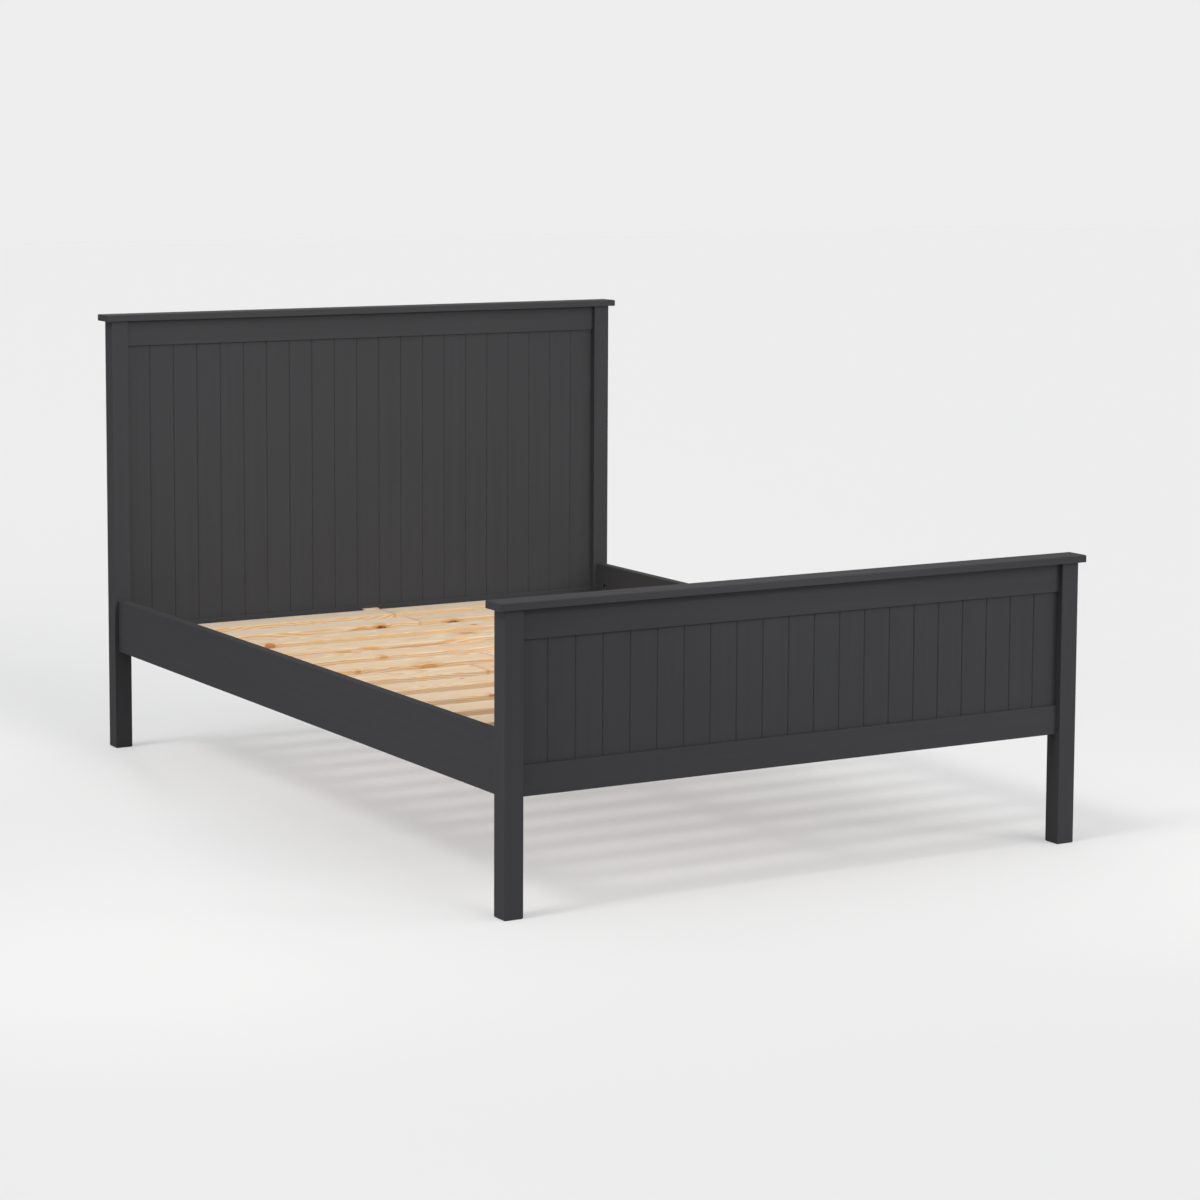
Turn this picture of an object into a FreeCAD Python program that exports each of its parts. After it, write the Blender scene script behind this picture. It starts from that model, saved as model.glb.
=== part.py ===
import FreeCAD, Part
import math
import os
import re

import Sketcher

# Double bed frame of painted wood with pine slats.
# Millimetres. X runs across the bed, Y from the foot end to the head end, Z up.
# The origin is on the floor, under the middle of the frame.

BOARD_COUNT = 21
SLAT_COUNT = 14

SIZES = (
    # Whole frame
    ("bed_width", 1480, "over the outer faces of the posts"),
    ("bed_length", 2130, "over the outer faces of the posts"),
    ("floor_clearance", 253, "floor to the underside of every lower rail"),
    ("fit_gap", 0.2, "room round a tenon, dowel or bolt"),
    ("hole_room", 1, "empty depth past the end of a tenon, dowel or bolt"),
    ("overrun", 2, "how far a cutting shape stands out of the wood"),
    # Posts
    ("post_side", 45, "side of the square post"),
    ("head_height", 1110, "head post, under its cap"),
    ("foot_height", 645, "foot post, under its cap"),
    ("post_edge", 1.5, "rounding of the upright edges"),
    ("post_toe", 2.5, "chamfer round the bottom"),
    # Caps
    ("cap_thickness", 16, "cap board"),
    ("cap_end_overhang", 17, "past the posts across the bed"),
    ("cap_face_overhang", 9, "past the posts along the bed"),
    ("cap_corner", 4, "rounding of the cap's four upright edges"),
    ("cap_edge", 1.8, "chamfer round the cap's top"),
    ("cap_tenon_side", 25, "square stub on the post, let into the cap"),
    ("cap_tenon_height", 8, "square stub on the post, let into the cap"),
    # End rails
    ("end_rail_height", 66, "upper and lower rails of both ends"),
    ("end_rail_thickness", 21, "upper and lower rails of both ends"),
    ("end_rail_edge", 1.5, "rounding of the long edges"),
    ("tenon_length", 25, "into the post"),
    ("tenon_thickness", 10, "of the end rails' tenons"),
    ("tenon_land", 2, "wood between a board groove and a tenon"),
    # Boards
    ("board_thickness", 9, "tongue and groove board"),
    ("board_gap", 0.4, "joint between two boards"),
    ("board_vee", 2, "chamfer that makes the V joint"),
    ("board_housing", 7, "board inside the groove of a rail or post"),
    ("tongue_length", 5, "tongue on the right edge of a board"),
    ("tongue_thickness", 3, "tongue on the right edge of a board"),
    # Side rails
    ("side_rail_height", 134, "side rail"),
    ("side_rail_thickness", 24, "side rail"),
    ("side_rail_edge", 2, "rounding of the long edges"),
    # Corner fittings
    ("stud_radius", 4, "M8 hanger bolt"),
    ("stud_in_post", 30, "wood thread in the post"),
    ("stud_tail", 2, "bolt past its nut"),
    ("pocket_radius", 13, "nut pocket in the side rail"),
    ("pocket_distance", 45, "rail end to the middle of the pocket"),
    ("washer_thickness", 5, "half-moon washer, on the bolt's line"),
    ("nut_flats", 13, "M8 nut over its flats"),
    ("nut_height", 6.5, "M8 nut"),
    ("corner_dowel_radius", 4, "locating dowel"),
    ("corner_dowel_length", 40, "locating dowel"),
    ("corner_dowel_wall", 3.5, "wood between a dowel and the tenon beside it"),
    ("corner_dowel_margin", 22, "side rail edge to the middle of a dowel"),
    # Slats and what carries them
    ("mattress_depth", 77, "side rail top down to the slats"),
    ("slat_width", 90, "slat"),
    ("slat_thickness", 18, "slat"),
    ("slat_edge", 2, "chamfer of the long edges"),
    ("slat_side_room", 3, "slat end to side rail"),
    ("slat_end_gap", 20, "outer slat to the end rail"),
    ("ledger_height", 28, "rail that the slats rest on"),
    ("ledger_thickness", 22, "rail that the slats rest on"),
    ("ledger_edge", 1.5, "chamfer of the long edges"),
    ("ledger_end_room", 5, "ledger end to post"),
    # Centre support
    ("centre_rail_width", 44, "middle rail under the slats"),
    ("centre_rail_height", 38, "middle rail under the slats"),
    ("centre_rail_edge", 2, "chamfer of the long edges"),
    ("centre_lap_length", 40, "half lap on the end block"),
    ("centre_block_height", 57.5, "end block on the lower rail"),
    ("centre_block_room", 5, "end block to the outer slat"),
    ("centre_leg_side", 44, "square middle leg"),
    ("centre_leg_edge", 2, "chamfer of the upright edges and round the bottom"),
    ("leg_stud_in_rail", 25, "M8 stud above the leg"),
    ("leg_stud_in_leg", 35, "M8 stud in the leg"),
)

doc = FreeCAD.newDocument("BedFrame")

# Spreadsheet of the driving sizes
sheet = doc.addObject("Spreadsheet::Sheet", "Sizes")
for row, (alias, value, note) in enumerate(SIZES, start=1):
    sheet.set(f"A{row}", alias)
    sheet.set(f"B{row}", str(value))
    sheet.set(f"C{row}", note)
    sheet.setAlias(f"B{row}", alias)
doc.recompute()

ALIASES = {alias for alias, value, note in SIZES}
nodes = []

# Places worked out from the sizes, as expressions for the document
half_width = "(bed_width / 2)"
half_length = "(bed_length / 2)"
half_post = "(post_side / 2)"
post_x = f"({half_width} - {half_post})"
post_y = f"({half_length} - {half_post})"
between_posts = "(bed_width - 2 * post_side)"
side_rail_length = "(bed_length - 2 * post_side)"
lower_rail_top = "(floor_clearance + end_rail_height)"
housing_depth = "(board_housing + hole_room)"
tenon_shoulder = f"({housing_depth} + tenon_land)"
end_rail_inner_y = f"({post_y} - end_rail_thickness / 2)"
slat_top = "(floor_clearance + side_rail_height - mattress_depth)"
slat_bottom = f"({slat_top} - slat_thickness)"
stud_height = "(floor_clearance + side_rail_height / 2)"
joint_y = f"({half_length} - post_side)"
board_pitch = f"({between_posts} / {BOARD_COUNT})"
slat_pitch = f"((2 * {end_rail_inner_y} - 2 * slat_end_gap - slat_width) / {SLAT_COUNT - 1})"

# Axis of each kind of sketch plane: its role, and the way its normal points along that axis
PLANES = {"X": ("YZ_Plane", 1), "Y": ("XZ_Plane", -1), "Z": ("XY_Plane", 1)}


def sized(text):
    """Points each size in an expression at its cell."""
    def cell(match):
        word = match.group()
        return f"Sizes.{word}" if word in ALIASES else word
    return re.sub(r"[A-Za-z_]+", cell, text)


def bind(item, name, text):
    item.setExpression(name, sized(text))


def new_body(label, x="0", y="0", z="0"):
    """A sub-part, which is written to its own file."""
    body = doc.addObject("PartDesign::Body", label)
    body.Label = label
    for letter, text in zip("xyz", (x, y, z)):
        bind(body, f"Placement.Base.{letter}", text)
    nodes.append(body)
    return body


def new_sketch(body, name, axis, place="0"):
    """A sketch square to an axis, at a place along it."""
    role, normal = PLANES[axis]
    sketch = body.newObject("Sketcher::SketchObject", name)
    plane = next(item for item in body.Origin.OriginFeatures if item.Role == role)
    sketch.AttachmentSupport = (plane, [""])
    sketch.MapMode = "FlatFace"
    bind(sketch, "AttachmentOffset.Base.z", f"{normal} * ({place})")
    return sketch


def outline(sketch, corners):
    """Closed straight-sided outline through the corners, each a pair of expressions."""
    count = len(corners)
    first = sketch.GeometryCount
    ring = []
    for index in range(count):
        angle = 2 * math.pi * index / count
        ring.append(FreeCAD.Vector(math.cos(angle), math.sin(angle)))
    for index in range(count):
        sketch.addGeometry(Part.LineSegment(ring[index], ring[(index + 1) % count]))
    for index in range(count):
        after = first + (index + 1) % count
        sketch.addConstraint(Sketcher.Constraint("Coincident", first + index, 2, after, 1))
    for index, corner in enumerate(corners):
        pin(sketch, first + index, 1, corner, ring[index])


def circle(sketch, centre, radius):
    index = sketch.addGeometry(Part.Circle(FreeCAD.Vector(), FreeCAD.Vector(0, 0, 1), 1))
    pin(sketch, index, 3, centre, FreeCAD.Vector(1, 1))
    number = sketch.addConstraint(Sketcher.Constraint("Radius", index, 1.0))
    bind(sketch, f"Constraints[{number}]", radius)


def pin(sketch, index, point, place, near):
    """Fixes a point of the sketch at a pair of expressions from its origin."""
    for kind, text, start in (("DistanceX", place[0], near.x), ("DistanceY", place[1], near.y)):
        number = sketch.addConstraint(Sketcher.Constraint(kind, -1, 1, index, point, start))
        bind(sketch, f"Constraints[{number}]", text)


def box_outline(sketch, low, high):
    """Rectangle between two corners."""
    outline(sketch, (low, (high[0], low[1]), high, (low[0], high[1])))


def extrude(body, kind, sketch, axis, way, length):
    """Pad or pocket of a sketch, along its axis, the plus or the minus way."""
    feature = body.newObject(f"PartDesign::{kind}", f"{sketch.Name}{kind}")
    feature.Profile = sketch
    bind(feature, "Length", length)
    natural = PLANES[axis][1] * (1 if kind == "Pad" else -1)
    feature.Reversed = natural != way
    sketch.Visibility = False
    body.Tip = feature
    if kind == "Pocket":
        doc.recompute()
        before = feature.BaseFeature.Shape.Volume
        if feature.Shape.Volume >= before:
            raise ValueError(f"{body.Label}: {feature.Name} cuts nothing")
    return feature


def block(body, name, low, high):
    """Pad between two corners, each three expressions."""
    sketch = new_sketch(body, name, "Z", low[2])
    box_outline(sketch, low[:2], high[:2])
    return extrude(body, "Pad", sketch, "Z", 1, f"{high[2]} - ({low[2]})")


def housing(body, name, low, high):
    """Pocket between two corners, each three expressions."""
    sketch = new_sketch(body, name, "Z", low[2])
    box_outline(sketch, low[:2], high[:2])
    return extrude(body, "Pocket", sketch, "Z", 1, f"{high[2]} - ({low[2]})")


def holes(body, name, axis, way, start, depth, radius, centres):
    """Round blind holes bored along an axis from one plane."""
    sketch = new_sketch(body, name, axis, start)
    for centre in centres:
        circle(sketch, centre, radius)
    return extrude(body, "Pocket", sketch, axis, way, depth)


def ease(body, kind, size, chosen):
    """Rounds or chamfers the chosen edges of what the body has so far."""
    doc.recompute()
    base = body.Tip
    names = [f"Edge{number}" for number, edge in enumerate(base.Shape.Edges, start=1) if chosen(edge)]
    feature = body.newObject(f"PartDesign::{kind}", f"{body.Label}_{size}")
    feature.Base = (base, names)
    bind(feature, "Radius" if kind == "Fillet" else "Size", size)
    body.Tip = feature
    return feature


def runs_along(letter):
    """Chooses straight edges that run along one axis."""
    def chosen(edge):
        tangent = edge.tangentAt(edge.FirstParameter)
        return edge.Curve.TypeId == "Part::GeomLine" and math.isclose(abs(getattr(tangent, letter)), 1)
    return chosen


def on_floor(edge):
    """Chooses edges at the bottom of the body."""
    return all(vertex.Z < Part.Precision.confusion() for vertex in edge.Vertexes)


def repeat(body, source, sketch_axis, pitch, count):
    """Row of copies of one feature along a sketch's axis."""
    sketch, direction = sketch_axis
    pattern = body.newObject("PartDesign::LinearPattern", f"{source.Name}_Row")
    pattern.Originals = [source]
    pattern.Direction = (sketch, [direction])
    pattern.Mode = "Spacing"
    bind(pattern, "Offset", pitch)
    pattern.Occurrences = count
    body.Tip = pattern
    return pattern


def mirror_all(body, role):
    """Adds the mirror image of all that the body has so far."""
    doc.recompute()
    feature = body.newObject("PartDesign::Mirrored", f"{body.Label}_{role[:2]}")
    feature.TransformMode = "Whole shape"
    plane = next(item for item in body.Origin.OriginFeatures if item.Role == role)
    feature.MirrorPlane = (plane, [""])
    body.Tip = feature
    return feature


# Posts


def make_post(label, height, inward, along):
    """Square post. inward is the X side that the end rails join, along the Y side of the side rail."""
    body = new_body(label, f"{-inward} * {post_x}", f"{-along} * {post_y}")
    block(body, "Post", (f"-{half_post}", f"-{half_post}", "0"), (half_post, half_post, height))
    ease(body, "Chamfer", "post_toe", on_floor)
    ease(body, "Fillet", "post_edge", runs_along("z"))

    # Mortises for the end rails, and the groove that holds the outer board between them
    face = f"{inward} * ({half_post} + overrun)"
    bottom = f"{inward} * ({half_post} - tenon_length - hole_room)"
    side = "(tenon_thickness / 2 + fit_gap)"
    for name, rail_bottom in (("Lower", "floor_clearance"), ("Upper", f"({height} - end_rail_height)")):
        low = (bottom, f"-{side}", f"({rail_bottom} + {tenon_shoulder} - fit_gap)")
        high = (face, side, f"({rail_bottom} + end_rail_height - {tenon_shoulder} + fit_gap)")
        housing(body, f"{name}Mortise", low, high)
    groove = f"{inward} * ({half_post} - {housing_depth})"
    side = "(board_thickness / 2 + fit_gap)"
    low = (groove, f"-{side}", f"({lower_rail_top} - {housing_depth})")
    high = (face, side, f"({height} - end_rail_height + {housing_depth})")
    housing(body, "BoardGroove", low, high)

    # Bores for the hanger bolt and the two locating dowels, and the stub that holds the cap
    start = f"{along} * {half_post}"
    holes(body, "StudBore", "Y", -along, start, "stud_in_post + hole_room", "stud_radius + fit_gap",
          (("0", stud_height),))
    holes(body, "DowelBores", "Y", -along, start, f"{dowel_in_post} + hole_room",
          "corner_dowel_radius + fit_gap", dowel_centres("0"))
    half_stub = "cap_tenon_side / 2"
    block(body, "CapTenon", (f"-{half_stub}", f"-{half_stub}", height),
          (half_stub, half_stub, f"{height} + cap_tenon_height"))


def dowel_centres(x, rail_bottom="floor_clearance"):
    """The two locating dowels of a corner, each near an edge of the side rail."""
    return [(x, f"{rail_bottom} + corner_dowel_margin"),
            (x, f"{rail_bottom} + side_rail_height - corner_dowel_margin")]


dowel_in_post = "((post_side - tenon_thickness) / 2 - corner_dowel_wall)"

make_post("head_left_post", "head_height", 1, -1)
make_post("head_right_post", "head_height", -1, -1)
make_post("foot_left_post", "foot_height", 1, 1)
make_post("foot_right_post", "foot_height", -1, 1)

# Upper and lower end rails


def make_end_rail(label, y, z, groove_low, groove_high, eased):
    """Rail with a tenon at each end and a groove for the boards along one edge."""
    body = new_body(label, "0", y, z)
    half_clear = f"({between_posts} / 2)"
    half_thick = "(end_rail_thickness / 2)"
    block(body, "Rail", (f"-{half_clear}", f"-{half_thick}", "0"),
          (half_clear, half_thick, "end_rail_height"))
    ease(body, "Fillet", "end_rail_edge", eased)
    tenon_end = f"({half_clear} + tenon_length)"
    low = (f"-{tenon_end}", "-tenon_thickness / 2", tenon_shoulder)
    high = (tenon_end, "tenon_thickness / 2", f"(end_rail_height - {tenon_shoulder})")
    block(body, "Tenons", low, high)
    groove_end = f"({half_clear} + overrun)"
    groove_side = "(board_thickness / 2 + fit_gap)"
    housing(body, "BoardGroove", (f"-{groove_end}", f"-{groove_side}", groove_low),
            (groove_end, groove_side, groove_high))


def upper_rail(label, y, height):
    """The boards come up into the underside. The top edges stay square, to meet the cap."""
    def eased(edge):
        return runs_along("x")(edge) and on_floor(edge)
    make_end_rail(label, y, f"{height} - end_rail_height", "-overrun", housing_depth, eased)


def lower_rail(label, y):
    """The boards stand in the top."""
    make_end_rail(label, y, "floor_clearance", f"(end_rail_height - {housing_depth})",
                  "(end_rail_height + overrun)", runs_along("x"))


upper_rail("head_upper_rail", post_y, "head_height")
lower_rail("head_lower_rail", post_y)
upper_rail("foot_upper_rail", f"-{post_y}", "foot_height")
lower_rail("foot_lower_rail", f"-{post_y}")

# Tongue and groove boards


def board_edge(x, kind, side):
    """Corners of one edge of a board, from its front face to its back face."""
    half = "board_thickness / 2"
    if kind == "housed":
        reach = f"{x} + {side} * board_housing"
        return [(reach, f"-{half}"), (reach, half)]
    thick = "(tongue_thickness / 2)" if side > 0 else "(tongue_thickness / 2 + fit_gap)"
    depth = f"{x} + tongue_length" if side > 0 else f"{x} + tongue_length + fit_gap"
    shoulder = f"({half} - board_vee)"
    return [
        (f"{x} - {side} * board_vee", f"-{half}"),
        (x, f"-{shoulder}"),
        (x, f"-{thick}"),
        (depth, f"-{thick}"),
        (depth, thick),
        (x, thick),
        (x, shoulder),
        (f"{x} - {side} * board_vee", half),
    ]


def board(body, name, number, left, right, length):
    """Pads one board. number counts the boards from the left post."""
    left_x = f"({number} * {board_pitch} + board_gap / 2)"
    right_x = f"({number + 1} * {board_pitch} - board_gap / 2)"
    sketch = new_sketch(body, name, "Z")
    right_edge = board_edge(right_x, right, 1)
    left_edge = board_edge(left_x, left, -1)
    outline(sketch, right_edge + left_edge[::-1])
    return sketch, extrude(body, "Pad", sketch, "Z", 1, length)


def make_boards(label, y, height):
    """Row of upright boards, housed in both rails and both posts."""
    body = new_body(label, f"-{between_posts} / 2", y, f"{lower_rail_top} - board_housing")
    length = f"{height} - end_rail_height - {lower_rail_top} + 2 * board_housing"
    board(body, "LeftBoard", 0, "housed", "tongue", length)
    sketch, middle = board(body, "MiddleBoard", 1, "groove", "tongue", length)
    repeat(body, middle, (sketch, "H_Axis"), board_pitch, BOARD_COUNT - 2)
    board(body, "RightBoard", BOARD_COUNT - 1, "groove", "housed", length)


make_boards("head_boards", post_y, "head_height")
make_boards("foot_boards", f"-{post_y}", "foot_height")

# Caps


def make_cap(label, y, height):
    """Flat board that overhangs the posts on every side, with a mortise for the stub of each post."""
    body = new_body(label, "0", y, height)
    half_long = f"({half_width} + cap_end_overhang)"
    half_deep = f"({half_post} + cap_face_overhang)"
    block(body, "Cap", (f"-{half_long}", f"-{half_deep}", "0"), (half_long, half_deep, "cap_thickness"))
    ease(body, "Fillet", "cap_corner", runs_along("z"))
    ease(body, "Chamfer", "cap_edge", lambda edge: not on_floor(edge) and not runs_along("z")(edge))
    half_stub = "(cap_tenon_side / 2 + fit_gap)"
    for name, side in (("Left", -1), ("Right", 1)):
        middle = f"{side} * {post_x}"
        housing(body, f"{name}Mortise", (f"{middle} - {half_stub}", f"-{half_stub}", "-overrun"),
                (f"{middle} + {half_stub}", half_stub, "(cap_tenon_height + hole_room)"))


make_cap("head_cap", post_y, "head_height")
make_cap("foot_cap", f"-{post_y}", "foot_height")

# Side rails


def make_side_rail(label, inward):
    """Plain rail between the posts, with a nut pocket on its inner face near each end."""
    body = new_body(label, f"{-inward} * {post_x}", "0", "floor_clearance")
    half_thick = "(side_rail_thickness / 2)"
    end = f"({side_rail_length} / 2)"
    block(body, "Rail", (f"-{half_thick}", f"-{end}", "0"), (half_thick, end, "side_rail_height"))
    ease(body, "Fillet", "side_rail_edge", runs_along("y"))
    middle = "side_rail_height / 2"
    inner_face = f"{inward} * {half_thick}"
    pocket_depth = f"{half_thick} + nut_flats / 2 + hole_room"
    ends = [f"{way} * ({end} - pocket_distance)" for way in (-1, 1)]
    holes(body, "NutPockets", "X", -inward, inner_face, pocket_depth, "pocket_radius",
          [(place, middle) for place in ends])
    for name, way in (("Foot", 1), ("Head", -1)):
        start = f"{-way} * {end}"
        holes(body, f"{name}StudBore", "Y", way, start, "pocket_distance - pocket_radius / 2",
              "stud_radius + fit_gap", (("0", middle),))
        holes(body, f"{name}DowelBores", "Y", way, start, f"{dowel_in_rail} + hole_room",
              "corner_dowel_radius + fit_gap", dowel_centres("0", "0"))


dowel_in_rail = f"(corner_dowel_length - {dowel_in_post})"

make_side_rail("left_side_rail", 1)
make_side_rail("right_side_rail", -1)

# Corner fittings, made at the right foot corner and mirrored to the other three


def at_every_corner(body):
    mirror_all(body, "XZ_Plane")
    mirror_all(body, "YZ_Plane")


def rod(body, name, start, length, radius, centres):
    """Round bars along Y."""
    sketch = new_sketch(body, name, "Y", start)
    for centre in centres:
        circle(sketch, centre, radius)
    return extrude(body, "Pad", sketch, "Y", 1, length)


nut_face = "(pocket_distance - pocket_radius + washer_thickness)"
stud_in_rail = f"({nut_face} + nut_height + stud_tail)"

body = new_body("corner_studs")
rod(body, "Stud", f"-{joint_y} - stud_in_post", f"stud_in_post + {stud_in_rail}", "stud_radius",
    ((post_x, stud_height),))
at_every_corner(body)

body = new_body("corner_dowels")
rod(body, "Dowels", f"-{joint_y} - {dowel_in_post}", "corner_dowel_length", "corner_dowel_radius",
    dowel_centres(post_x))
at_every_corner(body)

# The washer is a slice of a round bar, flat towards the nut
body = new_body("corner_washers")
half_washer = "(nut_flats / 2)"
pocket_y = f"(-{joint_y} + pocket_distance)"
flat_y = f"(-{joint_y} + {nut_face})"
sketch = new_sketch(body, "Washer", "X", f"{post_x} - {half_washer}")
circle(sketch, (pocket_y, stud_height), "pocket_radius - fit_gap")
extrude(body, "Pad", sketch, "X", 1, f"2 * {half_washer}")
housing(body, "Flat",
        (f"{post_x} - {half_washer} - overrun", flat_y, f"{stud_height} - pocket_radius"),
        (f"{post_x} + {half_washer} + overrun", f"{pocket_y} + pocket_radius + overrun",
         f"{stud_height} + pocket_radius"))
holes(body, "StudBore", "Y", 1, f"-{joint_y}", "pocket_distance", "stud_radius + fit_gap",
      ((post_x, stud_height),))
at_every_corner(body)

body = new_body("corner_nuts")
sketch = new_sketch(body, "Nut", "Y", flat_y)
half_flats = "nut_flats / 2"
corner_rise = "nut_flats / sqrt(12)"
tip_rise = "nut_flats / sqrt(3)"
outline(sketch, [(f"{post_x} + {x}", f"{stud_height} + {z}") for x, z in (
    (half_flats, f"-{corner_rise}"),
    (half_flats, corner_rise),
    ("0", tip_rise),
    (f"-{half_flats}", corner_rise),
    (f"-{half_flats}", f"-{corner_rise}"),
    ("0", f"-{tip_rise}"),
)])
extrude(body, "Pad", sketch, "Y", 1, "nut_height")
holes(body, "Thread", "Y", 1, f"{flat_y} - overrun", "nut_height + 2 * overrun",
      "stud_radius + fit_gap", ((post_x, stud_height),))
at_every_corner(body)

# Ledgers, which carry the slats


def make_ledger(label, outward):
    """Square batten along the inner face of a side rail."""
    ledger_x = f"({post_x} - side_rail_thickness / 2 - ledger_thickness / 2)"
    body = new_body(label, f"{outward} * {ledger_x}", "0", f"{slat_bottom} - ledger_height")
    half_thick = "(ledger_thickness / 2)"
    end = f"({side_rail_length} / 2 - ledger_end_room)"
    block(body, "Ledger", (f"-{half_thick}", f"-{end}", "0"), (half_thick, end, "ledger_height"))
    ease(body, "Chamfer", "ledger_edge", runs_along("y"))


make_ledger("left_slat_ledger", -1)
make_ledger("right_slat_ledger", 1)

# Slats

slat_half = f"({post_x} - side_rail_thickness / 2 - slat_side_room)"

for number in range(SLAT_COUNT):
    steps = number - (SLAT_COUNT - 1) / 2
    body = new_body(f"slat_{number + 1:02d}", "0", f"{steps} * {slat_pitch}", slat_bottom)
    block(body, "Slat", (f"-{slat_half}", "-slat_width / 2", "0"),
          (slat_half, "slat_width / 2", "slat_thickness"))
    ease(body, "Chamfer", "slat_edge", runs_along("x"))

# Centre rail, lapped onto a block at each end, and its leg

block_plate = "(slat_end_gap - centre_block_room)"
centre_rail_bottom = f"({slat_bottom} - centre_rail_height)"
block_face_y = f"({end_rail_inner_y} - {block_plate})"
centre_rail_end = f"({block_face_y} - hole_room)"
lap_start = f"({block_face_y} - centre_lap_length)"
lap_height = "(centre_rail_height / 2)"
half_centre = "(centre_rail_width / 2)"

body = new_body("centre_rail", "0", "0", centre_rail_bottom)
block(body, "Rail", (f"-{half_centre}", f"-{centre_rail_end}", "0"),
      (half_centre, centre_rail_end, "centre_rail_height"))
ease(body, "Chamfer", "centre_rail_edge", runs_along("y"))
for name, way in (("Foot", -1), ("Head", 1)):
    housing(body, f"{name}Lap",
            (f"-{half_centre} - overrun", f"{way} * ({lap_start} - hole_room)", "-overrun"),
            (f"{half_centre} + overrun", f"{way} * ({centre_rail_end} + overrun)", lap_height))
holes(body, "LegStudBore", "Z", 1, "0", "leg_stud_in_rail + hole_room", "stud_radius + fit_gap",
      (("0", "0"),))


def make_centre_block(label, way):
    """L-shaped block fixed to a lower rail. Its foot carries the lapped end of the centre rail."""
    body = new_body(label, "0", f"{way} * {end_rail_inner_y}", centre_rail_bottom)
    sketch = new_sketch(body, "Outline", "X", f"-{half_centre}")
    reach = f"{-way} * ({block_plate} + centre_lap_length)"
    plate = f"{-way} * {block_plate}"
    outline(sketch, (("0", "0"), (reach, "0"), (reach, lap_height), (plate, lap_height),
                     (plate, "centre_block_height"), ("0", "centre_block_height")))
    extrude(body, "Pad", sketch, "X", 1, "centre_rail_width")

make_centre_block("head_centre_block", 1)
make_centre_block("foot_centre_block", -1)

body = new_body("centre_leg")
half_leg = "(centre_leg_side / 2)"
block(body, "Leg", (f"-{half_leg}", f"-{half_leg}", "0"), (half_leg, half_leg, centre_rail_bottom))
ease(body, "Chamfer", "centre_leg_edge", lambda edge: on_floor(edge) or runs_along("z")(edge))
holes(body, "StudBore", "Z", -1, centre_rail_bottom, "leg_stud_in_leg + hole_room",
      "stud_radius + fit_gap", (("0", "0"),))

body = new_body("centre_leg_stud", "0", "0", f"{centre_rail_bottom} - leg_stud_in_leg")
sketch = new_sketch(body, "Stud", "Z")
circle(sketch, ("0", "0"), "stud_radius")
extrude(body, "Pad", sketch, "Z", 1, "leg_stud_in_leg + leg_stud_in_rail")

# Checks, then one file for each sub-part

doc.recompute()
for item in doc.Objects:
    if {"Invalid", "Error"} & set(item.State):
        raise ValueError(f"{item.Name} failed: {item.State}")
os.makedirs("parts", exist_ok=True)
for body in nodes:
    if body.Shape.isNull() or not body.Shape.isValid():
        raise ValueError(f"{body.Label} has no valid shape")
for body in nodes:
    body.Shape.exportStep(f"parts/{body.Label}.step")
print(f"{len(nodes)} sub-parts written")
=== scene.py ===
import math
import random

import bpy
from mathutils import Matrix, Vector


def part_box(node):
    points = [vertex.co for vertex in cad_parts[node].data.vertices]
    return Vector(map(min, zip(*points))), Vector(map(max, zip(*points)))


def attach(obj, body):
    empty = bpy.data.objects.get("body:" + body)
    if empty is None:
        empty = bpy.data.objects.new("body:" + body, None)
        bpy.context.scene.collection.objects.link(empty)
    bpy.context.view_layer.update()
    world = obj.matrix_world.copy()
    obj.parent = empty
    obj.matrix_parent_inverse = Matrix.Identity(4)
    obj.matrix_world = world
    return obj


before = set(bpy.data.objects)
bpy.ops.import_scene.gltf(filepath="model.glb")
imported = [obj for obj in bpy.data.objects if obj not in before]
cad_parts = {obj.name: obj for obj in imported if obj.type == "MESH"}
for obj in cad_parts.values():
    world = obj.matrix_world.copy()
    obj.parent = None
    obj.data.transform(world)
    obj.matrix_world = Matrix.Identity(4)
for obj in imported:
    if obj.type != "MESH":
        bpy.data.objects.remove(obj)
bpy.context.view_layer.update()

bpy.ops.object.select_all(action="DESELECT")

# Posts. Four square pine posts stand straight on the floor, two high ones at the head and two low ones
# at the foot. They are sprayed with satin anthracite lacquer, and the grain shows faintly through it.


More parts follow.
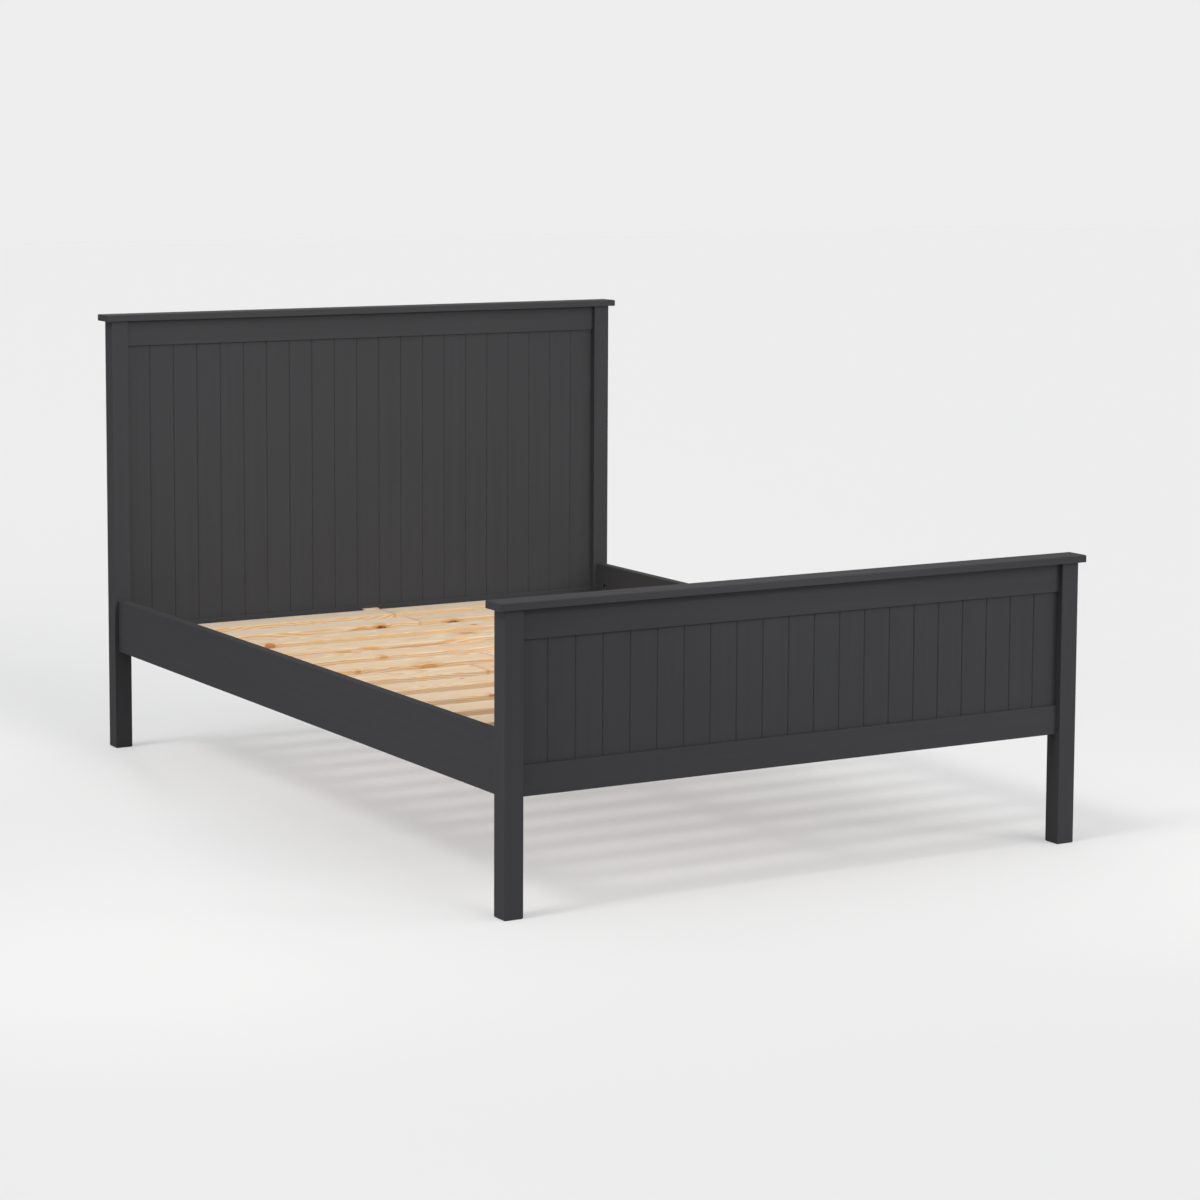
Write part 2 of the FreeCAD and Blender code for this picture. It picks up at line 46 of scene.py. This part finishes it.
class Strand:
    """A socket inside a finish. Sums on strands add the nodes that work them out."""

    def __init__(self, tree, socket):
        self.tree = tree
        self.socket = socket

    def node(self, kind, settings, inputs, output=0):
        """Adds a node of this kind: its settings first, then the values or strands of its sockets."""
        made = self.tree.nodes.new("ShaderNode" + kind)
        for setting, value in settings.items():
            setattr(made, setting, value)
        for name, value in inputs.items():
            if isinstance(value, Strand):
                self.tree.links.new(value.socket, made.inputs[name])
            else:
                made.inputs[name].default_value = value
        return Strand(self.tree, made.outputs[output])

    def feed(self, shader, name):
        """Leads this strand into the shader's socket of this name."""
        self.tree.links.new(self.socket, shader.inputs[name])

    def maths(self, operation, first, second=0.0):
        """One Math node on two numbers or strands."""
        return self.node("Math", {"operation": operation}, {0: first, 1: second})

    def __add__(self, other):
        return self.maths("ADD", self, other)

    def __sub__(self, other):
        return self.maths("SUBTRACT", self, other)

    def __rsub__(self, other):
        return self.maths("SUBTRACT", other, self)

    def __mul__(self, other):
        return self.maths("MULTIPLY", self, other)

    def __truediv__(self, other):
        return self.maths("DIVIDE", self, other)

    def __pow__(self, other):
        return self.maths("POWER", self, other)

    __radd__ = __add__
    __rmul__ = __mul__

    def rise(self, low, high):
        """0 at low, 1 at high and smooth between them."""
        limits = {"Value": self, "From Min": low, "From Max": high}
        return self.node("MapRange", {"interpolation_type": "SMOOTHSTEP"}, limits)

    def choose(self, first, second):
        """The first colour where this strand is 0 and the second where it is 1.
        A Mix node takes its colours in sockets 6 and 7 and gives one from socket 2."""
        return self.node("Mix", {"data_type": "RGBA"}, {0: self, 6: first, 7: second}, 2)

    def cloud(self, sizes, start, detail=2.0):
        """A soft noise from 0 to 1 at this place, whose patches have these sizes in metres."""
        scale = [1 / size for size in sizes]
        place = self.node("Mapping", {}, {"Vector": self, "Location": start, "Scale": scale})
        return self.node("TexNoise", {}, {"Vector": place, "Scale": 1.0, "Detail": detail})

    def facing(self, axis):
        """1 where the surface faces along this axis, either way, and 0 where it lies along it."""
        outward = self.node("TexCoord", {}, {}, "Normal")
        share = outward.node("SeparateXYZ", {}, {"Vector": outward}, axis)
        return share.maths("ABSOLUTE", share)

    def emboss(self, shader, strength, depth):
        """Raises the surface where this strand is high, by up to this depth in metres."""
        bump = self.node("Bump", {}, {"Strength": strength, "Distance": depth, "Height": self})
        bump.feed(shader, "Normal")


def new_finish(name):
    """A named finish, its shader, and the place on the piece as a strand."""
    finish = bpy.data.materials.new(name)
    finish.use_nodes = True
    tree = finish.node_tree
    place = Strand(tree, tree.nodes.new("ShaderNodeTexCoord").outputs["Object"])
    return finish, tree.nodes["Principled BSDF"], place


def along_grain(along, length, width):
    """Patch sizes that are long in the grain's direction and narrow across it."""
    sizes = [width, width, width]
    sizes[along] = length
    return sizes


def apply_finish(finish, *names):
    """Gives the finish to these pieces all over."""
    for name in names:
        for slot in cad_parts[name].material_slots:
            slot.material = finish


lacquer_deep = (0.0413, 0.0413, 0.0438, 1)
lacquer_full = (0.0526, 0.0527, 0.0558, 1)
# Painted light: a paler lacquer for the slopes of the vees, against the shade in the grooves.
vee_painted_light = (0.06, 0.06, 0.0635, 1)
lacquer_gloss = 0.05
lacquer_relief = 0.0003
spray_patch = (0.4, 0.4, 0.4)
spray_stipple = (0.0022, 0.0022, 0.0022)
streak_patch = (0.7, 0.014)
pore_patch = (0.09, 0.0016)


def lacquer(name, along, start, vees=None):
    """Satin anthracite lacquer on wood whose grain runs along this axis.
    The slopes of vees, where an axis is given that these face, are painted paler: painted light that
    lifts the shade in the grooves."""
    finish, shader, place = new_finish(name)
    drift = place.cloud(spray_patch, start, 1.0)
    streak = place.cloud(along_grain(along, *streak_patch), start, 3.0)
    fibre = place.cloud(along_grain(along, *pore_patch), start)
    stipple = place.cloud(spray_stipple, start, 1.0)
    shade = drift * 0.5 + streak * 0.7 + fibre * 0.3 - 0.25
    colour = shade.choose(lacquer_deep, lacquer_full)
    # Painted light: the slopes of the vees get the paler lacquer.
    if vees is not None:
        colour = place.facing(vees).rise(0.3, 0.6).choose(colour, vee_painted_light)
    colour.feed(shader, "Base Color")
    (drift * 0.12 + fibre * 0.06 + 0.58).feed(shader, "Roughness")
    shader.inputs["Specular IOR Level"].default_value = lacquer_gloss
    (streak * 0.4 + fibre * 0.4 + stipple * 0.25).emboss(shader, 0.35, lacquer_relief)
    return finish


upright_lacquer = lacquer("anthracite_lacquer_upright", 2, (3.1, 0.7, 1.9))
apply_finish(upright_lacquer, "head_left_post", "head_right_post", "foot_left_post", "foot_right_post")

# End panels. Each end has an upper and a lower pine rail, tenoned into the posts. Twenty-one upright
# tongued boards stand between them in their grooves, with a fine vee at every joint on both faces.
# The whole end is lacquered after gluing.

across_lacquer = lacquer("anthracite_lacquer_across", 0, (0.3, 5.2, 2.6))
apply_finish(across_lacquer, "head_upper_rail", "head_lower_rail", "foot_upper_rail", "foot_lower_rail")
board_lacquer = lacquer("anthracite_lacquer_boards", 2, (7.4, 2.8, 0.6), vees=0)
apply_finish(board_lacquer, "head_boards", "foot_boards")

# Caps. A flat pine board with eased edges lies on each end and overhangs its posts all round.
# It is mortised for the stub on each post, glued down and lacquered with the rest.

apply_finish(lacquer("anthracite_lacquer_caps", 0, (1.3, 4.4, 8.1)), "head_cap", "foot_cap")

# Side rails. One lacquered pine plank runs along each side between the posts.
# A hanger bolt in a round pocket draws it to the post at each end.

side_lacquer = lacquer("anthracite_lacquer_sides", 1, (6.2, 0.9, 3.3))
apply_finish(side_lacquer, "left_side_rail", "right_side_rail")

# Bearers. Bare pine battens are screwed and glued inside the side rails, and a pine rail runs down
# the middle. The middle rail is lapped on a block at each end and stands on a leg in the centre.

pine_pale = (0.745, 0.64, 0.505, 1)
pine_honey = (0.645, 0.365, 0.142, 1)
pine_ends = (0.50, 0.345, 0.2, 1)
pine_gloss = 0.25
pine_relief = 0.0003
tone_patch = (0.6, 0.06)
bend_patch = (0.55, 0.2)
sag_patch = (0.45, 0.2)
ripple_patch = (0.05, 0.004)
fibre_patch = (0.05, 0.0009)
ring_widths = (0.0026, 0.0042)
comb_half_pitch = 0.0022
comb_steepness = 4.5
glue_half_width = 0.002
resin = (0.42, 0.15, 0.04, 1)
knot_amber = (0.55, 0.27, 0.075, 1)
knot_brown = (0.25, 0.075, 0.018, 1)
knot_dark = (0.055, 0.009, 0.002, 1)
streak_amber = (0.56, 0.28, 0.11, 1)
knot_hearts = {"dark": knot_brown, "amber": knot_amber, "resin": resin, "streak": streak_amber}
knot_halos = {"dark": 0.9, "amber": 0.45, "resin": 0.3, "streak": 0.15}
knot_blot = (0.009, 0.009, 0.004)


def pine(name, along, middle, seed, knots=(), joint=None, painted_sheen=0.0):
    """Planed bare pine. The rings lie round a heart that wanders, and bend round the knots.
    A knot is its place, its half lengths and its kind.
    A joint is its place along the grain, and how much warmer the wood is past it.
    The last argument is how much paler the broad faces are painted than the edges: a painted sheen for
    slats seen at a grazing angle."""
    draw = random.Random(seed)
    finish, shader, place = new_finish(name)
    start = [draw.uniform(0, 50) for _ in range(3)]
    centred = place.node("Mapping", {}, {"Vector": place, "Location": [-part for part in middle]})
    parts = centred.node("SeparateXYZ", {}, {"Vector": centred}).socket.node.outputs
    length, width, depth = (Strand(place.tree, parts[(along + step) % 3]) for step in range(3))
    heart_width = draw.uniform(-0.05, 0.05)
    heart_depth = draw.choice((-1, 1)) * draw.uniform(0.03, 0.07)
    tone = draw.uniform(-0.05, 0.05)
    across = width + heart_width
    down = depth + heart_depth
    warmth = place.cloud(along_grain(along, *tone_patch), start, 1.0) * 0.3 + (tone - painted_sheen - 0.19)
    if joint is not None:
        joint_place, joint_warmth = joint
        beyond = length - depth.maths("PINGPONG", depth + width, comb_half_pitch) * comb_steepness
        second = beyond.maths("GREATER_THAN", beyond, joint_place)
        across = across + second * draw.uniform(-0.07, 0.07)
        down = down + second * draw.uniform(-0.02, 0.02)
        warmth = warmth + second * joint_warmth
        limits = {0: beyond, 1: joint_place, 2: glue_half_width}
        glue = beyond.node("Math", {"operation": "COMPARE"}, limits)
    across = across + (place.cloud(along_grain(along, *bend_patch), start, 1.0) - 0.5) * 0.075
    down = down + (place.cloud(along_grain(along, *sag_patch), start[::-1], 1.0) - 0.5) * 0.05
    radius = (across * across + down * down) ** 0.5
    nearness = []
    for spot, halves, kind in knots:
        centre = [-part / half for part, half in zip(spot, halves)]
        scale = [1 / half for half in halves]
        away = place.node("Mapping", {}, {"Vector": place, "Location": centre, "Scale": scale})
        away = away.node("VectorMath", {"operation": "LENGTH"}, {0: away}, "Value")
        away = away + (place.cloud([half * 0.6 for half in halves], start, 1.0) - 0.5) * 0.35
        radius = radius + away.rise(2.6, 0.6) * 0.0035
        nearness.append((away, kind))
    ripple = place.cloud(along_grain(along, *ripple_patch), start) * 0.35
    rings = radius / draw.uniform(*ring_widths) + ripple
    ring = rings.maths("FRACT", rings)
    late = ring.rise(0.25, 0.9) * ring.rise(1.0, 0.92)
    fibre = place.cloud(along_grain(along, *fibre_patch), start, 3.0)
    slope = place.facing((along + 1) % 3)
    # The sides take more of the late wood's honey, which is grain, and a flat share more, which is
    # painted shade. The chamfers get a painted shade of honey too, which dims their highlight.
    edge = slope.rise(0.5, 0.8)
    painted_arris_shade = slope.rise(0.5, 0.65) * slope.rise(0.9, 0.75)
    share = late * 0.6 + fibre * 0.3 + warmth + edge * (late * 0.4 + (painted_sheen + 0.17)) + painted_arris_shade * 0.3
    colour = share.choose(pine_pale, pine_honey)
    if joint is not None:
        colour = (glue * 0.9).choose(colour, resin)
    for away, kind in nearness:
        colour = (away.rise(2.4, 0.8) * knot_halos[kind]).choose(colour, knot_amber)
        rim = 0.8 if kind == "streak" else away.maths("SINE", away * 13.0) * 0.12 + 0.85
        colour = (away.rise(1.1, 0.7) * rim).choose(colour, knot_hearts[kind])
        if kind == "dark":
            blot = place.cloud(knot_blot, start[::-1], 1.0).rise(0.42, 0.58)
            colour = (away.rise(0.95, 0.6) * blot).choose(colour, knot_dark)
    colour = (place.facing(along).rise(0.7, 0.9) * 0.55).choose(colour, pine_ends)
    colour.feed(shader, "Base Color")
    (fibre * 0.16 - late * 0.08 + 0.55).feed(shader, "Roughness")
    shader.inputs["Specular IOR Level"].default_value = pine_gloss
    (fibre * 0.5 + late * 0.4).emboss(shader, 0.3, pine_relief)
    return finish


def box_middle(name):
    """The middle of a CAD piece's box."""
    low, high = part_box(name)
    return (low + high) / 2


for name, along, seed in (
    ("left_slat_ledger", 1, 11),
    ("right_slat_ledger", 1, 12),
    ("centre_rail", 1, 13),
    ("centre_leg", 2, 14),
    ("head_centre_block", 0, 15),
    ("foot_centre_block", 0, 16),
):
    apply_finish(pine("bare_pine_" + name, along, box_middle(name), seed), name)

# Slats. Fourteen planed pine slats lie across the ledgers and the middle rail, each glued up from
# two lengths. The comb of a finger joint shows on their edges, and a few have a knot or a streak
# of resin.

slat_count = 14
foot_edge = -0.045
# A mark is its place across the bed, its place forward or back of the slat's middle line, its height
# over the floor, its three half lengths and its kind. Those at the foot edge show on that edge.
slat_marks = {
    14: ((-0.273, foot_edge, 0.297, 0.004, 0.02, 0.003, "amber"),),
    13: (
        (-0.095, foot_edge, 0.3, 0.016, 0.02, 0.0075, "dark"),
        (-0.15, foot_edge, 0.3, 0.045, 0.02, 0.005, "streak"),
        (0.117, foot_edge, 0.298, 0.02, 0.02, 0.0065, "dark"),
    ),
    12: (
        (-0.483, foot_edge, 0.304, 0.016, 0.02, 0.012, "resin"),
        (0.117, -0.014, 0.31, 0.013, 0.006, 0.01, "resin"),
    ),
    11: (
        (-0.15, foot_edge, 0.3, 0.1, 0.02, 0.004, "streak"),
        (-0.02, foot_edge, 0.294, 0.07, 0.02, 0.003, "streak"),
        (-0.3, foot_edge, 0.296, 0.045, 0.02, 0.004, "streak"),
        (0.035, 0.02, 0.31, 0.025, 0.014, 0.01, "amber"),
    ),
    10: ((-0.313, foot_edge, 0.307, 0.012, 0.02, 0.004, "amber"),),
    9: (
        (-0.265, foot_edge, 0.299, 0.028, 0.025, 0.011, "amber"),
        (-0.457, foot_edge, 0.305, 0.008, 0.02, 0.004, "amber"),
    ),
    6: ((-0.333, foot_edge, 0.308, 0.009, 0.02, 0.003, "resin"),),
}
slat_joints = {14: (0.015, 0.0), 13: (0.015, 0.05)}
# Painted sheen: the broad faces of the slats nearest the head, seen at a grazing angle, are painted
# paler, and those in the middle a little warmer.
slat_painted_sheen = {14: 0.18, 13: 0.18, 12: 0.08, 11: 0.04, 10: -0.04, 9: -0.04}
# The other knots come by chance, and on the slats near the head they keep to the right.
chance_knots = 2
chance_reach = 0.65
chance_sway = 0.03
chance_depth = 0.03
clear_at_head = 0.42
clear_step = 0.11
shuffle = random.Random(5)
for number in range(1, slat_count + 1):
    name = f"slat_{number:02d}"
    middle = box_middle(name)
    knots = [
        (Vector((x, middle.y + y, z)), (half_x, half_y, half_z), kind)
        for x, y, z, half_x, half_y, half_z, kind in slat_marks.get(number, ())
    ]
    from_left = max(-chance_reach, clear_at_head - (slat_count - number) * clear_step)
    for _ in range(chance_knots):
        x = shuffle.uniform(from_left, chance_reach)
        y = middle.y + shuffle.uniform(-chance_sway, chance_sway)
        half = shuffle.uniform(0.005, 0.009)
        kind = shuffle.choice(("amber", "dark", "resin"))
        knots.append((Vector((x, y, middle.z)), (half * 1.3, half, chance_depth), kind))
    joint = slat_joints.get(number, (shuffle.uniform(-0.6, 0.6), shuffle.choice((-0.1, 0.1))))
    painted_sheen = slat_painted_sheen.get(number, 0.0)
    apply_finish(pine("bare_pine_" + name, 0, middle, 100 + number, knots, joint, painted_sheen), name)

# Corner fixings. An M8 hanger bolt, a half-moon washer and a hexagon nut draw each side rail to its
# post. They are bright zinc-plated steel, and two beech dowels at each corner keep the rail level.

zinc_dull = (0.43, 0.45, 0.47, 1)
zinc_bright = (0.66, 0.68, 0.7, 1)
zinc_patch = (0.006, 0.006, 0.006)
tumbling_mark = (0.0005, 0.003, 0.0005)


def zinc(name, start):
    """Bright zinc plating, with its faint patches and fine tumbling marks."""
    finish, shader, place = new_finish(name)
    patches = place.cloud(zinc_patch, start)
    scratches = place.cloud(tumbling_mark, start, 3.0)
    (patches * 0.7 + scratches * 0.3).choose(zinc_dull, zinc_bright).feed(shader, "Base Color")
    (patches * 0.2 + scratches * 0.12 + 0.2).feed(shader, "Roughness")
    shader.inputs["Metallic"].default_value = 1.0
    scratches.emboss(shader, 0.2, 0.0001)
    return finish


zinc_plate = zinc("bright_zinc_plate", (2.0, 9.0, 4.0))
apply_finish(zinc_plate, "corner_studs", "corner_washers", "corner_nuts", "centre_leg_stud")

beech_pale = (0.62, 0.42, 0.26, 1)
beech_fleck = (0.36, 0.2, 0.105, 1)
fleck_patch = (0.0008, 0.004, 0.0008)
beech, shader, place = new_finish("beech_dowel")
flecks = place.cloud(fleck_patch, (1.0, 6.0, 2.0))
flecks.rise(0.35, 0.75).choose(beech_pale, beech_fleck).feed(shader, "Base Color")
(flecks * 0.2 + 0.5).feed(shader, "Roughness")
flecks.emboss(shader, 0.3, 0.0002)
apply_finish(beech, "corner_dowels")

# Wood screws. Countersunk steel screws with a cross recess hold the slats to the ledgers, and the
# ledgers to the side rails. Each is one turned blank whose head was struck, and it is driven flush.

head_radius = 0.004
head_depth = 0.0024
head_sides = 20
head_rim = 0.0003
head_crown = 0.0001
shank_radius = 0.0016
shank_length = 0.022
point_length = 0.005
point_taper = 0.1
proud = 0.0002
recess_size = (0.0044, 0.0009, 0.0024)
recess_middle = -0.0004
recess_taper = 0.45
quarter_turn = math.pi / 2
nearly_level = 0.9


def faces_up(face):
    return face.normal.z > nearly_level


def faces_down(face):
    return face.normal.z < -nearly_level


def pick_faces(piece, wanted):
    """Selects in edit mode the faces that pass the test."""
    bpy.ops.mesh.select_mode(type="FACE")
    bpy.ops.mesh.select_all(action="DESELECT")
    bpy.ops.object.mode_set(mode="OBJECT")
    for face in piece.data.polygons:
        face.select = wanted(face)
    bpy.ops.object.mode_set(mode="EDIT")


bpy.ops.mesh.primitive_cone_add(
    vertices=head_sides,
    radius1=shank_radius,
    radius2=head_radius,
    depth=head_depth,
    location=(0, 0, -head_depth / 2),
)
screw = bpy.context.object
bpy.ops.object.transform_apply(location=True, rotation=True, scale=True)
bpy.ops.object.mode_set(mode="EDIT")
pick_faces(screw, faces_up)
bpy.ops.mesh.extrude_region_move(TRANSFORM_OT_translate={"value": (0, 0, proud)})
bpy.ops.mesh.inset(thickness=head_rim, depth=head_crown)
pick_faces(screw, faces_down)
bpy.ops.mesh.extrude_region_move(TRANSFORM_OT_translate={"value": (0, 0, -shank_length)})
bpy.ops.mesh.extrude_region_move(TRANSFORM_OT_translate={"value": (0, 0, -point_length)})
bpy.ops.transform.resize(value=(point_taper, point_taper, 1), center_override=(0, 0, 0))
bpy.ops.object.mode_set(mode="OBJECT")

blades = []
for turn in (0, quarter_turn):
    bpy.ops.mesh.primitive_cube_add(size=1, location=(0, 0, recess_middle), rotation=(0, 0, turn))
    blade = bpy.context.object
    blade.scale = recess_size
    bpy.ops.object.transform_apply(location=True, rotation=True, scale=True)
    bpy.ops.object.mode_set(mode="EDIT")
    pick_faces(blade, faces_down)
    bpy.ops.transform.resize(value=(recess_taper, recess_taper, 1), center_override=(0, 0, 0))
    bpy.ops.object.mode_set(mode="OBJECT")
    blades.append(blade)
for blade in blades:
    bpy.ops.object.select_all(action="DESELECT")
    screw.select_set(True)
    bpy.context.view_layer.objects.active = screw
    cut = screw.modifiers.new("recess", "BOOLEAN")
    cut.operation = "DIFFERENCE"
    cut.solver = "EXACT"
    cut.object = blade
    bpy.ops.object.modifier_apply(modifier="recess")
    bpy.data.objects.remove(blade)


def drive_screws(name, heads):
    """Copies of the screw, joined as one piece. A head is its place and the way that it looks."""
    copies = []
    for head, outward in heads:
        copy = screw.copy()
        copy.data = screw.data.copy()
        bpy.context.collection.objects.link(copy)
        lean = Vector(outward).to_track_quat("Z", "Y").to_matrix().to_4x4()
        turn = Matrix.Rotation(shuffle.uniform(0, quarter_turn), 4, "Z")
        copy.data.transform(Matrix.Translation(head) @ lean @ turn)
        copies.append(copy)
    bpy.ops.object.select_all(action="DESELECT")
    for copy in copies:
        copy.select_set(True)
    bpy.context.view_layer.objects.active = copies[0]
    bpy.ops.object.join()
    group = copies[0]
    group.name = name
    group.data.name = name
    group.data.materials.append(zinc_plate)
    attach(group, "root")


slat_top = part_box("slat_01")[1].z
ledger_low, ledger_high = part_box("right_slat_ledger")
slat_screw_line = (ledger_low.x + ledger_high.x) / 2
slat_heads = []
for number in range(1, slat_count + 1):
    slat_middle = box_middle(f"slat_{number:02d}")
    for side in (-1, 1):
        slat_heads.append(((side * slat_screw_line, slat_middle.y, slat_top), (0, 0, 1)))
drive_screws("slat_screws", slat_heads)

ledger_height = (ledger_low.z + ledger_high.z) / 2
ledger_spread = (-0.95, -0.57, -0.19, 0.19, 0.57, 0.95)
ledger_heads = []
for side in (-1, 1):
    for y in ledger_spread:
        ledger_heads.append(((side * ledger_low.x, y, ledger_height), (-side, 0, 0)))
drive_screws("ledger_screws", ledger_heads)
bpy.data.objects.remove(screw)

# Floor. A pale, plain and matt studio floor runs out of the picture on every side. It isn't part of
# the bed. The bed's shadow on it is softened, and it throws less light up than its own tone would.

floor_size = 60
floor_cuts = 3
floor_shade = (0.85, 0.85, 0.85, 1)
dust_shades = ((0.873, 0.848, 0.823, 1), (0.878, 0.852, 0.827, 1))
dust_patch = (0.5, 0.5, 0.5)
lift_shade = (0.805, 0.85, 0.895, 1)
bounce_shade = (0.585, 0.594, 0.622, 1)
shadow_lift = 0.36


def seen_rays(tree):
    """1 for the rays that show a surface, straight, mirrored or through glass.
    It is 0 for the rays that light other surfaces."""
    path = tree.nodes.new("ShaderNodeLightPath")
    rays = Strand(tree, path.outputs["Is Camera Ray"]) + Strand(tree, path.outputs["Is Glossy Ray"])
    rays = rays + Strand(tree, path.outputs["Is Transmission Ray"])
    return rays.maths("MINIMUM", rays, 1.0)


bpy.ops.mesh.primitive_plane_add(size=floor_size, location=(0, 0, 0))
floor = bpy.context.object
floor.name = "studio_floor"
bpy.ops.object.mode_set(mode="EDIT")
bpy.ops.mesh.subdivide(number_cuts=floor_cuts)
bpy.ops.object.mode_set(mode="OBJECT")
floor_finish, shader, place = new_finish("studio_floor")
shader.inputs["Roughness"].default_value = 0.9
shader.inputs["Specular IOR Level"].default_value = 0.0
tree = floor_finish.node_tree
dust = place.cloud(dust_patch, (0, 0, 0)).choose(*dust_shades)
seen = seen_rays(tree)
seen.choose(bounce_shade, dust).feed(shader, "Base Color")
glow = seen.node("Emission", {}, {"Color": lift_shade, "Strength": 1.0})
matt = Strand(tree, shader.outputs["BSDF"])
lit = seen.node("MixShader", {}, {0: seen * shadow_lift, 1: matt, 2: glow})
tree.links.new(lit.socket, tree.nodes["Material Output"].inputs["Surface"])
floor.data.materials.append(floor_finish)

# Light. Plain white light comes from all round, more from above than from the sides. A soft sun high
# on the left draws the slats on the floor, and wide fills and four soft lamps even out the lacquer.

low_sky = (0.22, 0.22, 0.22, 1)
high_sky = (0.69, 0.69, 0.69, 1)
world = bpy.data.worlds.new("studio")
bpy.context.scene.world = world
world.use_nodes = True
tree = world.node_tree
backdrop = tree.nodes["Background"]
backdrop.inputs["Strength"].default_value = 1.0
height = Strand(tree, tree.nodes.new("ShaderNodeTexCoord").outputs["Generated"])
height = height.node("SeparateXYZ", {}, {"Vector": height}, "Z")
ceiling = height.choose(low_sky, high_sky)
seen_rays(tree).choose(ceiling, floor_shade).feed(backdrop, "Color")

# A sun's share is how bright it alone would make a level white floor.
sun_distance = 3
for name, aim, share, spread in (
    ("high_left_lamp", (0.8, 0.05, -1.0), 0.17, 15),
    ("front_fill", (-0.2, 1.0, -0.6), 0.14, 35),
    ("left_fill", (1.0, 0.1, -0.85), 0.1, 45),
    ("right_fill", (-1.0, 0.3, -0.8), 0.05, 45),
):
    bpy.ops.object.light_add(type="SUN", location=[-sun_distance * part for part in aim])
    lamp = bpy.context.object
    lamp.name = name
    lamp.rotation_euler = Vector(aim).to_track_quat("-Z", "Y").to_euler()
    lamp.data.energy = share * math.pi / -Vector(aim).normalized().z
    lamp.data.angle = math.radians(spread)

lamp_radius = 0.35
for name, stand, target, power, cone in (
    ("head_lamp", (-0.2, -2.6, 1.9), (0, 1.05, 1.12), 200, 61),
    ("right_lamp", (2.3, -3.3, 1.1), (0.75, -1.07, 0.35), 88, 60),
    ("left_lamp", (-3.4, -1.3, 1.2), (-0.74, -0.9, 0.35), 50, 60),
    ("back_lamp", (0.2, 4.8, 1.3), (0, 1.07, 0.6), 190, 42),
):
    bpy.ops.object.light_add(type="SPOT", location=stand)
    lamp = bpy.context.object
    lamp.name = name
    lamp.rotation_euler = (Vector(target) - Vector(stand)).to_track_quat("-Z", "Y").to_euler()
    lamp.data.energy = power
    lamp.data.spot_size = math.radians(cone)
    lamp.data.spot_blend = 1.0
    lamp.data.shadow_soft_size = lamp_radius

# Camera. A long lens stands off the foot's left corner at eye height and looks slightly down the bed.
# It leans over by a hair, and its picture is shifted a little, as the photograph's framing needs.

camera_place = (-3.9187, -6.8246, 1.6677)
azimuth = math.radians(-30.567)
drop = math.radians(6.126)
roll = math.radians(0.263)
lens_length = 98.207
film_width = 36
picture_shift = -0.12
ahead_level = math.cos(drop)
ahead = Vector((-math.sin(azimuth) * ahead_level, math.cos(azimuth) * ahead_level, -math.sin(drop)))
level = Vector((math.cos(azimuth), math.sin(azimuth), 0))
rise = level.cross(ahead)
right = level * math.cos(roll) + rise * math.sin(roll)
top = right.cross(ahead)
bpy.ops.object.camera_add()
camera = bpy.context.object
turned = Matrix((right, top, -ahead)).transposed().to_4x4()
camera.matrix_world = Matrix.Translation(camera_place) @ turned
camera.data.lens = lens_length
camera.data.sensor_width = film_width
camera.data.shift_y = picture_shift
camera.data.clip_end = 200
bpy.context.scene.camera = camera
bpy.context.scene.view_settings.view_transform = "Standard"
